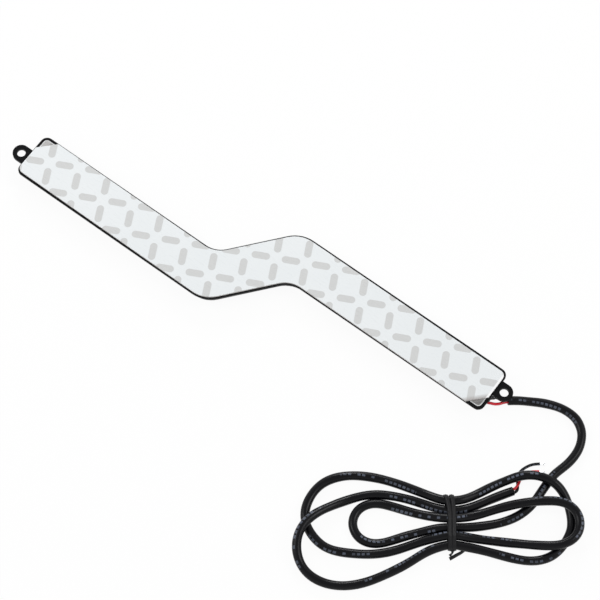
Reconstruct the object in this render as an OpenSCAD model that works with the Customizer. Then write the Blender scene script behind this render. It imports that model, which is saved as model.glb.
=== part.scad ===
// Slim daytime running light for a car's front bumper, bent like a flash of lightning.
// It lies lens down: Z = 0 is the front of the lens, and the taped back faces up.
// X runs along the two arms, and the origin is midway between the body's two ends.
// The whole body is one strip of constant width, so each shell, recess, seal and board
// is the same outline, inset by its own distance.

/* [Lamp outline] */
// Length of the body between its two ends
body_len = 231.5; // [200:0.5:260]
// Width of the strip
body_w = 21.8; // [20:0.1:26]
// Angle of the slanted middle stretch to the arms
bend_angle = 49.5; // [40:0.5:60]
// How far the slanted stretch is shifted along the arms
bend_shift = -2.7; // [-6:0.1:6]
// Sideways step between the centre lines of the two arms
arm_step = 29.7; // [26:0.1:40]
// Radius on the outer side of each bend
outer_bend_r = 14; // [12:0.5:18]
// Radius on the inner side of each bend
inner_bend_r = 11; // [8:0.5:16]
// Radius of the four end corners
corner_r = 3.2; // [2.5:0.1:4]

/* [Frame] */
// Height of the frame's back above the surface that the lens lies on
body_h = 7.4; // [7.2:0.1:9]
// Thickness of the flange round the back
flange_t = 1.4; // [1:0.1:1.6]
// Softening of the flange's edges
edge_soft = 0.3; // [0.1:0.1:0.4]
// How far the wall starts inside the flange's edge
flange_lip = 0.8; // [0.6:0.1:1]
// How much further in the wall has drawn at the front
wall_draft = 1; // [0.8:0.1:1.2]
// Thickness of the wall at the cavity's floor
wall_t = 1; // [0.8:0.1:1.4]
// Thickness of the lip that the lens lies behind
lip_t = 1; // [0.8:0.1:1.2]
// Width of the lip inside the cavity
lip_w = 0.8; // [0.7:0.1:1.2]

/* [Screw ears] */
// Radius of the ears' round ends
ear_r = 3.9; // [3.6:0.1:5]
// Thickness of the ears
ear_t = 1.6; // [1.2:0.1:1.6]
// Distance of each hole beyond the body's end
ear_out = 3.3; // [3.2:0.1:6]
// Distance of each hole from the centre line of its arm, away from the other arm
ear_side = 2.5; // [1.5:0.1:4]
// Diameter of the screw holes
screw_hole_d = 3.9; // [3.2:0.1:5]
// Length of the flare along the body's end, on the ear beside the leads
ear_flare = 1.9; // [1:0.1:3]

/* [Lens and light] */
// How far the lens stands proud of the frame
lens_proud = 1; // [0.6:0.1:1.4]
// Wall thickness of the lens
lens_t = 1.2; // [1:0.1:1.4]
// Thickness of the lens rim behind the lip
lens_rim_t = 0.7; // [0.6:0.1:1]
// Rounding of the lens's front edge
lens_round = 0.7; // [0.4:0.1:0.9]
// Thickness of the silicone ring under the lens rim
lens_seal_t = 0.3; // [0.2:0.1:0.5]
// Number of diodes, three to a string
led_count = 18; // [12:3:18]
// Length of a diode
led_l = 3.5; // [3:0.1:4]
// Width of a diode
led_w = 2.8; // [2.6:0.1:3]
// Height of a diode
led_h = 0.8; // [0.6:0.1:0.9]
// Distance of the outermost diodes from the body's ends
led_end = 9; // [8:0.5:12]
// Radius of the condenser over each diode
condenser_r = 3; // [2.4:0.1:3.4]
// Height of a condenser
condenser_h = 0.5; // [0.3:0.05:0.6]
// Thickness of the circuit board
board_t = 1; // [0.8:0.1:1.2]
// Length of a resistor
resistor_l = 3.2; // [2:0.1:3.4]
// Width of a resistor
resistor_w = 1.6; // [1.2:0.1:1.8]
// Height of a resistor
resistor_h = 0.6; // [0.4:0.05:0.7]
// Length of the polarity diode
polarity_l = 4.3; // [3:0.1:5]
// Width of the polarity diode
polarity_w = 2.6; // [1.8:0.1:3]
// Height of the polarity diode
polarity_h = 2; // [1.6:0.1:2.4]

/* [Back plate, tape and liner] */
// Thickness of the aluminium back plate
plate_t = 0.8; // [0.6:0.1:1]
// Width of the frame's border round the plate and its seal
plate_border = 1.4; // [1.2:0.1:1.6]
// Width of the bead of sealant round the plate
plate_seal_w = 0.4; // [0.3:0.1:0.5]
// Thickness of the double-sided foam tape
tape_t = 0.8; // [0.5:0.1:1.1]
// Thickness of the release liner
liner_t = 0.15; // [0.1:0.05:0.3]
// Distance of the tape from the frame's edge
tape_margin = 0.75; // [0.5:0.05:1]
// Length of the tape's two cut corners along the arm
tape_cut_l = 7; // [5:0.5:9]
// Length of the tape's two cut corners across the arm
tape_cut_w = 7.2; // [5:0.1:9]
// How far the hand-laid tape is turned on the frame
tape_turn = -0.2; // [-0.2:0.05:0.2]
// How far the hand-laid tape is shifted across the arms
tape_shift = -0.25; // [-0.4:0.05:0.4]

/* [Leads and cord] */
// Diameter of an insulated lead
lead_d = 1.3; // [1:0.1:1.3]
// Distance of the red lead from the centre line of the arm
lead_red_side = 4.6; // [4.4:0.1:4.8]
// Distance of the black lead from the centre line of the arm
lead_black_side = 2.2; // [1.8:0.1:2.4]
// Length of lead between the solder joints and the body's end
lead_inside = 9; // [7:0.5:12]
// Diameter of a solder joint
solder_d = 2; // [1.6:0.1:2.2]
// Diameter of the round two-core cord
cord_d = 4; // [3.4:0.1:4.4]
// Height of the wound cord's lobes
hank_h = 7.5; // [7:0.5:12]
// Strands of cord side by side under the tie
waist_strands = 6; // [5:1:6]
// Width of the flat wire tie
tie_w = 3.6; // [2:0.1:4]
// Thickness of the wire tie
tie_t = 0.8; // [0.6:0.1:1]

/* [Hidden] */
$fn = 48;
fit_gap = 0.15;
seal_margin = 0.05;
weld = 0.3;
past = 1;
inner_corner_r = 0.8;
end_steps = 6;
bend_steps = 7;

flange_z = body_h - flange_t;
ear_z = body_h - ear_t;
lip_z = lens_proud + lip_t;
plate_z = body_h - plate_t;
tape_z = body_h;
liner_z = tape_z + tape_t;
rim_z = lip_z + lens_seal_t;
board_z = rim_z + lens_rim_t;
board_back_z = board_z + board_t;
led_z = board_z - led_h;

front_inset = flange_lip + wall_draft;
cavity_inset = front_inset - wall_draft * lip_t / (flange_z - lens_proud) + wall_t;
window_inset = cavity_inset + lip_w;
rim_inset = cavity_inset + fit_gap;
crown_inset = window_inset + fit_gap;
lens_room_inset = crown_inset + lens_t;
board_inset = cavity_inset + 2 * fit_gap;
plate_inset = plate_border + plate_seal_w;
half_len = body_len / 2;
half_step = arm_step / 2;
ear_x = half_len + ear_out;
ear_y = half_step + ear_side;
ear_root = plate_border - fit_gap;

bend_x = half_step / tan(bend_angle);
mid_half = half_step / sin(bend_angle);
path_half = mid_half + half_len - led_end - bend_x;
path_start = -path_half - bend_shift;
led_pitch = 2 * path_half / (led_count - 1);
string_count = led_count / 3;
resistor_side = 3.4;
cup_wall = 0.3;
cup_depth = 0.25;
crown_chamfer = lens_round * 0.3;

lead_red_y = half_step - lead_red_side;
lead_black_y = half_step - lead_black_side;
seal_gap = 0.35;
seal_side = 0.75;
lead_rise = 0.1;
wire_seal_z = [board_back_z - seal_gap, board_back_z + lead_d + 2 * seal_gap];
lead_z = board_back_z + lead_rise + lead_d / 2;
wire_seal_y = [lead_red_y - lead_d / 2 - seal_side, lead_black_y + lead_d / 2 + seal_side];
wire_seal_x = [half_len - cavity_inset, half_len - 0.2];
part_gap = 1;
wire_room = lead_inside + solder_d + polarity_l + 3 * part_gap;
polarity_y = half_step + body_w / 2 - board_inset - part_gap - polarity_w / 2;
core_d = 0.7;
core_len = 1.6;
core_root = 0.1;
core_gap = 0.02;
solder_h = 1.5;
solder_top_d = solder_d * 0.7;
lead_bore = lead_d + 0.1;

cord_sides = 8;
end_at = [half_len, half_step, 0];
cord_run_rise = [
    [6.2, 1.5, 1.8], [10.1, 4.6, 1.2], [14, 7.3, 0.4], [18.1, 9.8, 0], [22.2, 11.6, 0], [26.2, 12.8, 0],
    [30.3, 13.2, 0], [34.3, 12.6, 0], [37.4, 11, 0], [39.8, 8.8, 0], [41.6, 5.8, 0], [42.7, 2.5, 0],
    [43.1, -1.3, 0], [42.8, -5.4, 0], [41.9, -9.4, 0], [41.3, -12, 0], [40.9, -13.4, 0]
];
cord_route = [for (p = cord_run_rise) end_at + p + [0, 0, cord_d / 2]];
red_bend = [[0.9, 0.4, 0], [2.4, 1.1, -0.1], [4.3, 2.8, -0.4]];
black_bend = [[0.7, 0.9, 0], [2.2, 1.8, -0.1], [3.9, 2.6, -0.4]];
mouth_straight = 3;
core_spread = 0.72;
core_straight = 1.2;
meet_gap = 0.03;

hank_at = end_at + [18.1, -57.3, 0];
hank_turn = 36.3;
left_lobe = [[-44, 4.5, 17.8], [-48, -10, 18.8]];
right_lobe = [[37.5, 4.5, 17.8], [38.5, -0.9, 18]];
lobe_root = [6, 11.5];
strand_pitch = 0.94 * cord_d;
strand_lift = 0.32 * cord_d;
waist_h = cord_d + strand_lift + 2 * tie_t;
waist_w = (waist_strands - 1) * strand_pitch + cord_d + 2 * tie_t;
twist_d = 1.5;
twist_rise = [[0, 0.4, 1.65], [0.6, -1, 1.25], [2.4, -1.8, 0.65], [4.6, -1.4, 0.05]];
twist_route = [for (p = twist_rise) p + [0, -waist_w / 2, twist_d / 2]];
tail_black_rise = [
    [28.6, 20.8, 0.05], [29.7, 23.2, 0.05], [32, 25.2, 0.05], [35.2, 26.6, 0.15], [38.4, 26.9, 0.25]
];
tail_red_rise = [[30.7, 21.6, 0.05], [31.8, 22.6, 0.05], [34.4, 23.4, 0.05], [38, 23.5, 0.05]];

function led_name(i) = str("led_", i < 10 ? "0" : "", i);
function resistor_name(i) = str("resistor_", i);

// Points of a rounded corner, walked past with the heading given and turned by turn
function arc_corner(at, heading, turn, r, steps) =
    let (side = sign(turn),
         ahead = [cos(heading), sin(heading)],
         left = [-sin(heading), cos(heading)],
         centre = at - r * tan(abs(turn) / 2) * ahead + side * r * left)
    [for (i = [0:steps]) let (a = heading - 90 * side + turn * i / steps) centre + r * [cos(a), sin(a)]];

// Where an edge of the arms, at height y, meets the lower edge of the slanted stretch
function bend_corner(y, half_w) = [(half_w + y * cos(bend_angle)) / sin(bend_angle), y];

// Lower half of the strip's outline, inset by d, with its bends shifted along the arms
function outline_half(d, shift) =
    let (half_w = body_w / 2 - d,
         end_x = half_len - d,
         end_r = max(corner_r - d, inner_corner_r))
    concat(
        arc_corner([-end_x, -half_step - half_w], 270, 90, end_r, end_steps),
        arc_corner([shift, 0] + bend_corner(-half_step - half_w, half_w), 0, bend_angle,
            outer_bend_r - d, bend_steps),
        arc_corner([shift, 0] + bend_corner(half_step - half_w, half_w), bend_angle, -bend_angle,
            inner_bend_r + d, bend_steps),
        arc_corner([end_x, half_step - half_w], 0, 90, end_r, end_steps)
    );

// The whole outline: the upper half is the lower one turned half round
function outline(d) = concat(outline_half(d, bend_shift), [for (p = outline_half(d, -bend_shift)) -p]);

// Place and heading on the strip's centre line, at a distance s from the slanted stretch's middle
function path_place(s) =
    [bend_shift, 0] + (abs(s) <= mid_half
        ? s * [cos(bend_angle), sin(bend_angle)]
        : sign(s) * [bend_x + abs(s) - mid_half, half_step]);
function path_heading(s) = abs(s) <= mid_half ? bend_angle : 0;

// The strip between two heights, with straight sides
module strip(d, z0, z1) {
    translate([0, 0, z0]) linear_extrude(z1 - z0) polygon(outline(d));
}

// The strip with sloping sides, through levels of [height, inset]
module sloped_strip(levels) {
    skin([for (level = levels) [for (p = outline(level[1])) [p[0], p[1], level[0]]]], across = true);
}

// Faces that close a ring of n points: one face, or for a bent strip a ladder of faces across it
function cap(first, n, across) = across
    ? [for (i = [0:n / 2 - 2]) [for (j = [i, i + 1, n - 2 - i, n - 1 - i]) first + j]]
    : [[for (i = [0:n - 1]) first + i]];
function turned_over(faces) = [for (f = faces) [for (i = [len(f) - 1:-1:0]) f[i]]];

// Closed solid through rings of points that all have the same number of points
module skin(rings, across = false) {
    n = len(rings[0]);
    last = len(rings) - 1;
    sides = [for (k = [0:last - 1], i = [0:n - 1])
        [k * n + i, (k + 1) * n + i, (k + 1) * n + (i + 1) % n, k * n + (i + 1) % n]];
    ends = concat(cap(0, n, across), turned_over(cap(last * n, n, across)));
    polyhedron([for (ring = rings) each ring], concat(sides, ends), convexity = 6);
}

// Ring between two insets of the strip
module strip_ring(outer_d, inner_d, z0, z1) {
    difference() {
        strip(outer_d, z0, z1);
        strip(inner_d, z0 - past, z1 + past);
    }
}

// Round tube along a route of points
function unit(v) = v / norm(v);
function heading_at(route, i) = unit(route[min(i + 1, len(route) - 1)] - route[max(i - 1, 0)]);
function tube_ring(route, i, d, sides) =
    let (ahead = heading_at(route, i),
         side = unit(cross(ahead, [0, 0, 1])),
         up = cross(side, ahead))
    [for (k = [0:sides - 1]) let (a = 360 * (k + 0.5) / sides)
        route[i] + d / 2 * (cos(a) * side + sin(a) * up)];
module tube(route, d, sides) {
    skin([for (i = [len(route) - 1:-1:0]) tube_ring(route, i, d, sides)]);
}

// A block set by two corners
module block(low, high) {
    translate(low) cube(high - low);
}

module screw_ear() {
    linear_extrude(ear_t) {
        circle(ear_r);
        translate([-ear_out - ear_root, -ear_r]) square([ear_out + ear_root, 2 * ear_r]);
    }
}

// The ear beside the leads flares towards them, so that it braces their seal
module flared_ear() {
    screw_ear();
    linear_extrude(ear_t) polygon([
        [-ear_out - ear_root, 0], [0, 0], [-ear_r * sin(30), -ear_r * cos(30)],
        [-ear_out, -ear_r - ear_flare], [-ear_out - ear_root, -ear_r - ear_flare]
    ]);
}

module housing() {
    color("#1b1c1e")
    difference() {
        union() {
            sloped_strip([
                [lens_proud, front_inset], [flange_z, flange_lip],
                [flange_z, edge_soft], [flange_z + edge_soft, 0],
                [body_h - edge_soft, 0], [body_h, edge_soft]
            ]);
            translate([-ear_x, -ear_y, ear_z]) rotate(180) screw_ear();
            translate([ear_x, ear_y, ear_z]) flared_ear();
        }
        strip(cavity_inset, lip_z, body_h + past);
        strip(window_inset, -past, lip_z + past);
        strip(plate_border, plate_z, body_h + past);
        for (side = [-1, 1])
            translate([side * ear_x, side * ear_y, ear_z - past])
                cylinder(h = ear_t + 2 * past, d = screw_hole_d);
        block([wire_seal_x[0] - past, wire_seal_y[0], wire_seal_z[0]],
            [half_len, wire_seal_y[1], wire_seal_z[1]]);
    }
}

// Shallow clear tray with a rim and a condenser over each diode
module lens() {
    color([0.9, 0.95, 1, 0.45]) {
        difference() {
            sloped_strip([
                [0, crown_inset + lens_round], [crown_chamfer, crown_inset + crown_chamfer],
                [lens_round, crown_inset], [rim_z, crown_inset], [rim_z, rim_inset], [board_z, rim_inset]
            ]);
            strip(lens_room_inset, lens_t, board_z + past);
        }
        for (i = [1:led_count]) at_led(i) translate([0, 0, lens_t - weld]) condenser();
    }
}

module condenser() {
    sag_r = (condenser_r * condenser_r + condenser_h * condenser_h) / (2 * condenser_h);
    intersection() {
        translate([0, 0, weld + condenser_h - sag_r]) sphere(sag_r);
        cylinder(h = weld + condenser_h, r = condenser_r);
    }
}

module lens_seal() {
    color("#cfd2d4") strip_ring(rim_inset, window_inset + seal_margin, lip_z, rim_z);
}

module led_board() {
    color("#f2f2ee") strip(board_inset, board_z, board_back_z);
}

// Moves to the place of diode i on the centre line, turned along it
module at_led(i) {
    along_path(path_start + (i - 1) * led_pitch) children();
}

module along_path(s) {
    translate(path_place(s)) rotate(path_heading(s)) children();
}

// Surface-mount diode: white body with a cup that holds the phosphor
module led(i) {
    color("#f7f1c8") at_led(i) {
        difference() {
            block([-led_l / 2, -led_w / 2, led_z], [led_l / 2, led_w / 2, board_z]);
            translate([0, 0, led_z - past]) cylinder(h = past + cup_depth, d = led_w - 2 * cup_wall);
        }
    }
}

module resistor(i) {
    color("#2a2a2e") along_path(path_start + (3 * i - 2.5) * led_pitch)
        translate([0, resistor_side, 0])
            block([-resistor_l / 2, -resistor_w / 2, board_z - resistor_h],
                [resistor_l / 2, resistor_w / 2, board_z]);
}

module polarity_diode() {
    color("#232326") translate([half_len - wire_room + part_gap + polarity_l / 2, polarity_y, board_back_z])
        block([-polarity_l / 2, -polarity_w / 2, 0], [polarity_l / 2, polarity_w / 2, polarity_h]);
}

// Soft pad behind the board, cut short where the leads are soldered
module thermal_pad() {
    color("#9aa3ab") difference() {
        strip(board_inset, board_back_z, plate_z);
        block([half_len - wire_room, 0, board_back_z - past], [half_len, arm_step, body_h]);
    }
}

module back_plate() {
    color("#b4b6b8") strip(plate_inset, plate_z, body_h);
}

module plate_seal() {
    color("#e4e6e6") strip_ring(plate_border, plate_inset, plate_z, body_h);
}

// Outline of the tape: the strip with two opposite corners cut off, laid by hand
module tape_outline() {
    end_x = half_len - tape_margin;
    top_y = half_step + body_w / 2 - tape_margin;
    low_y = half_step - body_w / 2 + tape_margin;
    translate([0, tape_shift]) rotate(tape_turn) difference() {
        polygon(outline(tape_margin));
        for (turn = [0, 180]) rotate(turn)
            polygon([
                [end_x - tape_cut_l, low_y], [end_x, low_y + tape_cut_w],
                [end_x + past, low_y + tape_cut_w], [end_x + past, low_y - past],
                [end_x - tape_cut_l, low_y - past]
            ]);
    }
}

module adhesive_tape() {
    color("#8f9294") translate([0, 0, tape_z]) linear_extrude(tape_t) tape_outline();
}

module release_liner() {
    color("#eef2f4") translate([0, 0, liner_z]) linear_extrude(liner_t) tape_outline();
}

// Domed joint on the back of the board, bored for the core of its lead
module solder_joint(y) {
    color("#c9ccd0") difference() {
        translate([half_len - lead_inside - solder_d / 2, y, board_back_z]) {
            cylinder(h = solder_h / 2, d = solder_d);
            translate([0, 0, solder_h / 2]) cylinder(h = solder_h / 2, d1 = solder_d, d2 = solder_top_d);
        }
        translate([half_len - lead_inside - core_len, y, lead_z]) rotate([0, 90, 0])
            cylinder(h = core_len + past, d = core_d + 2 * core_gap);
    }
}

// Plug of black sealant in the end wall, with a bore for each lead
module wire_seal() {
    color("#141416") difference() {
        block([wire_seal_x[0], wire_seal_y[0], wire_seal_z[0]],
            [wire_seal_x[1], wire_seal_y[1], wire_seal_z[1]]);
        for (y = [lead_red_y, lead_black_y])
            translate([wire_seal_x[0] - past, y, lead_z]) rotate([0, 90, 0])
                cylinder(h = wire_seal_x[1] - wire_seal_x[0] + 2 * past, d = lead_bore);
    }
}

// Insulated lead from its solder joint to the end of the cord, with its bared core
module lead(y, bend, side) {
    inside = [half_len - lead_inside, y, lead_z];
    mouth = [half_len, y, lead_z];
    ahead = heading_at(cord_route, 0);
    cord_end = cord_route[0] - meet_gap * ahead + side * core_spread * unit(cross([0, 0, 1], ahead));
    tube(
        concat([inside, mouth - [mouth_straight, 0, 0], mouth], [for (b = bend) mouth + b],
            [cord_end - core_straight * ahead, cord_end]),
        lead_d, cord_sides
    );
    translate(inside - [core_len - core_root, 0, 0]) rotate([0, 90, 0]) cylinder(h = core_len, d = core_d);
}

module lead_red() {
    color("#c8202a") lead(lead_red_y, red_bend, -1);
}

module lead_black() {
    color("#17171a") lead(lead_black_y, black_bend, 1);
}

module cord_run() {
    color("#141416") tube(cord_route, cord_d, cord_sides);
}

// Moves to the tie of the wound cord, with X along the bow
module at_hank() {
    translate(hank_at) rotate(hank_turn) children();
}

// One lobe of the bow: round ends that draw together towards the tie
module lobe(circles, side) {
    hull() {
        for (c = circles) translate([c[0], c[1]]) circle(c[2], $fn = 32);
        translate([side * lobe_root[0], 0]) circle(lobe_root[1], $fn = 32);
    }
}

module cord_hank() {
    color("#17171a") at_hank() difference() {
        union() {
            linear_extrude(hank_h) difference() {
                union() {
                    lobe(left_lobe, -1);
                    lobe(right_lobe, 1);
                }
                square([3 * tie_w, 2 * waist_w], center = true);
            }
            linear_extrude(waist_h) square([3 * tie_w + weld, waist_w], center = true);
        }
        difference() {
            block([-tie_w / 2, -waist_w, -past], [tie_w / 2, waist_w, waist_h + past]);
            block([-tie_w, tie_t - waist_w / 2, tie_t], [tie_w, waist_w / 2 - tie_t, waist_h - tie_t]);
        }
    }
}

// Flat wire tie round the waist, with its two ends twisted together
module hank_tie() {
    color("#101012") at_hank() {
        difference() {
            block([-tie_w / 2, -waist_w / 2, 0], [tie_w / 2, waist_w / 2, waist_h]);
            block([-tie_w, tie_t - waist_w / 2, tie_t], [tie_w, waist_w / 2 - tie_t, waist_h - tie_t]);
        }
        tube(twist_route, twist_d, cord_sides);
    }
}

// Insulated core that comes out of the cord's far end
module tail(rise) {
    at_hank() tube([for (p = rise) p + [0, 0, lead_d / 2]], lead_d, cord_sides);
}

module tail_black() {
    color("#17171a") tail(tail_black_rise);
}

module tail_red() {
    color("#b3242c") tail(tail_red_rise);
}

housing();
lens();
lens_seal();
led_board();
for (i = [1:led_count]) led(i);
for (i = [1:string_count]) resistor(i);
polarity_diode();
thermal_pad();
back_plate();
plate_seal();
adhesive_tape();
release_liner();
solder_joint(lead_red_y);  // solder_positive
solder_joint(lead_black_y);  // solder_negative
wire_seal();
lead_red();
lead_black();
cord_run();
cord_hank();
hank_tie();
tail_red();
tail_black();
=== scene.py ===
"""Looks of a slim daytime running light that lies lens down, with its cord wound into a hank.

Every length below that is written in millimetres is scaled by MM as it is used.
"""

import math

import bpy
import numpy as np
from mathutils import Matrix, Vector
from mathutils.geometry import convex_hull_2d


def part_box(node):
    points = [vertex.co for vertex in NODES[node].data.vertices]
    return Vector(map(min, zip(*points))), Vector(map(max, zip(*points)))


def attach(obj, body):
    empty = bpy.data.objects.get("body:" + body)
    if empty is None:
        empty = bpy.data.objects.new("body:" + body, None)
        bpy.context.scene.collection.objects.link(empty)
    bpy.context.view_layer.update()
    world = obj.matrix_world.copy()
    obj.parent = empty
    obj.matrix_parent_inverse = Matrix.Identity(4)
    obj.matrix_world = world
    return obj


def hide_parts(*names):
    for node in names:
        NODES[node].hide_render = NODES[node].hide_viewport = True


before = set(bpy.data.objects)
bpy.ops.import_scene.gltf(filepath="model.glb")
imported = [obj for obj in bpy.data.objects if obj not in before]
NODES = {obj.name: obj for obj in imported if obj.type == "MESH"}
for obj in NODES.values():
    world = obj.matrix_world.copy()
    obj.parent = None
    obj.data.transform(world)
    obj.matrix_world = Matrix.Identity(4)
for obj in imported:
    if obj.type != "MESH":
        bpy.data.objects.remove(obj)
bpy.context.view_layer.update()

MM = 0.001

# Camera

camera = bpy.data.objects.new("camera", bpy.data.cameras.new("camera"))
bpy.context.scene.collection.objects.link(camera)
bpy.context.scene.camera = camera
camera.data.sensor_width = 36
camera.data.lens = 144
camera.data.clip_start, camera.data.clip_end = 0.01, 20
camera.location = Vector((0.2510, -0.3093, 0.9807))
LOOK_AT = Vector((0.0233, -0.00057, 0.0080))
camera.rotation_mode = "QUATERNION"
camera.rotation_quaternion = (LOOK_AT - camera.location).to_track_quat("-Z", "Y")


# Materials


def add(tree, kind, inputs=None, **settings):
    """A shader node with its settings, and its inputs set to values or linked to sockets."""
    made = tree.nodes.new("ShaderNode" + kind)
    for key, value in settings.items():
        setattr(made, key, value)
    for key, value in (inputs or {}).items():
        if isinstance(value, bpy.types.NodeSocket):
            tree.links.new(value, made.inputs[key])
        else:
            made.inputs[key].default_value = value
    return made


def sums(tree, operation, *values):
    """The output of a Math node."""
    return add(tree, "Math", dict(enumerate(values)), operation=operation).outputs[0]


def vector_sums(tree, operation, a, b):
    """The outputs of a Vector Math node."""
    return add(tree, "VectorMath", {0: a, 1: b}, operation=operation).outputs


def new_material(name, colour, roughness, **sockets):
    """A material with a Principled shader, with its node tree and that shader."""
    material = bpy.data.materials.new(name)
    material.use_nodes = True
    tree = material.node_tree
    shader = tree.nodes["Principled BSDF"]
    shader.inputs["Base Color"].default_value = (*colour, 1)
    shader.inputs["Roughness"].default_value = roughness
    for key, value in sockets.items():
        shader.inputs[key.replace("_", " ")].default_value = value
    return material, tree, shader


def place(tree, stretch=(1, 1, 1)):
    """Coordinates in metres in the row frame, stretched along each axis."""
    coords = add(tree, "TexCoord").outputs["Object"]
    return add(tree, "Mapping", {"Vector": coords, "Scale": stretch}).outputs["Vector"]


def noise(tree, coords, size, detail=2.0, rough=0.5):
    """Noise whose features are about that size, in the unit of its coordinates."""
    inputs = {"Vector": coords, "Scale": 1 / size, "Detail": detail, "Roughness": rough}
    return add(tree, "TexNoise", inputs).outputs["Fac"]


def mapped(tree, value, old, new):
    """A value taken from one range to another and held inside it."""
    inputs = {
        "Value": value, "From Min": old[0], "From Max": old[1], "To Min": new[0], "To Max": new[1],
    }
    return add(tree, "MapRange", inputs).outputs["Result"]


def blended(tree, factor, a, b):
    """A colour between a and b."""
    mix = add(tree, "Mix", data_type="RGBA")
    tree.links.new(factor, mix.inputs["Factor"])
    for socket, value in ((mix.inputs[6], a), (mix.inputs[7], b)):
        if isinstance(value, bpy.types.NodeSocket):
            tree.links.new(value, socket)
        else:
            socket.default_value = (*value, 1)
    return mix.outputs[2]


def relief(tree, shader, heights):
    """Bumps on a shader, from pairs of (height socket, depth in metres)."""
    normal = None
    for height, depth in heights:
        inputs = {"Height": height, "Distance": depth, "Strength": 1.0}
        if normal is not None:
            inputs["Normal"] = normal
        normal = add(tree, "Bump", inputs).outputs["Normal"]
    tree.links.new(normal, shader.inputs["Normal"])


def moulded_plastic(name, colour, scuffed, roughness, grain_size, grain_depth, specular):
    """Plastic with a fine moulded grain, faint smudges and rubbed places."""
    material, tree, shader = new_material(name, colour, 0.5, Specular_IOR_Level=specular)
    coords = place(tree)
    smudge = noise(tree, coords, 9 * MM, 3.0)
    rub = mapped(tree, noise(tree, coords, 1.7 * MM, 4.0, 0.7), (0.6, 0.78), (0.0, 0.5))
    tree.links.new(blended(tree, rub, colour, scuffed), shader.inputs["Base Color"])
    tree.links.new(mapped(tree, smudge, (0.35, 0.65), roughness), shader.inputs["Roughness"])
    relief(tree, shader, [(noise(tree, coords, grain_size, 2.0), grain_depth)])
    return material


# The blocks on the cord, in millimetres along it and radii across it: the gap is half the space
# between two blocks, in steps, and some blocks and a share of each row are missing
BLOCK_STEP, BLOCK_GAP, BLOCKS_MISSING = 2.0, 0.15, 0.2
BLOCK_HALF, BLOCK_EDGE = 0.2, 0.05
ROW_STEP, ROW_SHARE = 61.0, 0.55
ROW_WANDER, ROW_WAVE = 0.7, 23.0


def block_mask(tree, along, section):
    """1 inside a broken row of small pale blocks that wanders over the upper side of a cord."""
    unit = sums(tree, "DIVIDE", along, BLOCK_STEP)
    chance = add(tree, "TexWhiteNoise", {"W": sums(tree, "FLOOR", unit)}, noise_dimensions="1D")
    there = sums(tree, "GREATER_THAN", chance.outputs["Value"], BLOCKS_MISSING)
    from_joint = sums(tree, "PINGPONG", unit, 0.5)
    within = mapped(tree, from_joint, (BLOCK_GAP, BLOCK_GAP + BLOCK_EDGE), (0.0, 1.0))
    parts = add(tree, "SeparateXYZ", {"Vector": section}).outputs
    swing = sums(tree, "SINE", sums(tree, "DIVIDE", along, ROW_WAVE))
    off_row = sums(tree, "SUBTRACT", parts["X"], sums(tree, "MULTIPLY", swing, ROW_WANDER))
    rim = (BLOCK_HALF + BLOCK_EDGE, BLOCK_HALF)
    across = mapped(tree, sums(tree, "ABSOLUTE", off_row), rim, (0.0, 1.0))
    above = sums(tree, "GREATER_THAN", parts["Y"], 0.0)
    row_place = sums(tree, "FRACT", sums(tree, "DIVIDE", along, ROW_STEP))
    row = sums(tree, "LESS_THAN", row_place, ROW_SHARE)
    mask = within
    for more in (there, across, above, row):
        mask = sums(tree, "MULTIPLY", mask, more)
    return mask


STREAKS_ROUND, STREAKS_ALONG = 9.0, 0.15


def jacket(name, colour, roughness, specular, dust, ink=None):
    """Extruded jacket: fine lines along it, specks of dust, and a row of blocks if inked."""
    material, tree, shader = new_material(name, colour, 0.4, Specular_IOR_Level=specular)
    coords = place(tree)
    along = add(tree, "Attribute", attribute_name="along").outputs["Fac"]
    section = add(tree, "Attribute", attribute_name="section").outputs["Vector"]
    lines = vector_sums(tree, "MULTIPLY", section, (STREAKS_ROUND,) * 3)["Vector"]
    drift = add(tree, "CombineXYZ", {"Z": sums(tree, "MULTIPLY", along, STREAKS_ALONG)})
    streak_at = vector_sums(tree, "ADD", lines, drift.outputs["Vector"])["Vector"]
    streaks = noise(tree, streak_at, 1.0)
    cloud = noise(tree, coords, 6 * MM, 3.0)
    speck = mapped(tree, noise(tree, coords, 0.35 * MM, 1.0), (0.74, 0.8), (0.0, 0.6))
    surface = blended(tree, speck, colour, dust)
    if ink:
        worn = mapped(tree, noise(tree, coords, 4.0 * MM, 1.0), (0.35, 0.6), (0.45, 1.0))
        blocks = block_mask(tree, along, section)
        surface = blended(tree, sums(tree, "MULTIPLY", blocks, worn), surface, ink)
    tree.links.new(surface, shader.inputs["Base Color"])
    tree.links.new(mapped(tree, cloud, (0.35, 0.65), roughness), shader.inputs["Roughness"])
    relief(tree, shader, [(streaks, 0.007 * MM), (noise(tree, coords, 0.5 * MM), 0.0015 * MM)])
    return material


# The way out over the cut corner by the cord, and where along it the liner's painted shade and the
# plate's painted dark reflection begin and end
CUT_OUTWARD = (0.717, -0.697, 0)
CUT_SHADE, DARK_REFLECTION = (72.7 * MM, 74.4 * MM), (74.2 * MM, 76.0 * MM)


def toward_cut(tree, span, levels):
    """A ramp of levels over a span of the way out over that corner."""
    outward = vector_sums(tree, "DOT_PRODUCT", place(tree), CUT_OUTWARD)["Value"]
    return mapped(tree, outward, span, levels)


# The liner's end has a painted highlight, a paler band over which no print shows; the print's bars
# have an angle in degrees, a cell of the pattern, and sizes that are shares of that cell
END_HIGHLIGHT = (114.0 * MM, 114.25 * MM)
PRINT_TURN, PRINT_CELL = 19, 9.5 * MM
BAR_HALF, BAR_R, BAR_EDGE = 0.26, 0.17, 0.012


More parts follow.
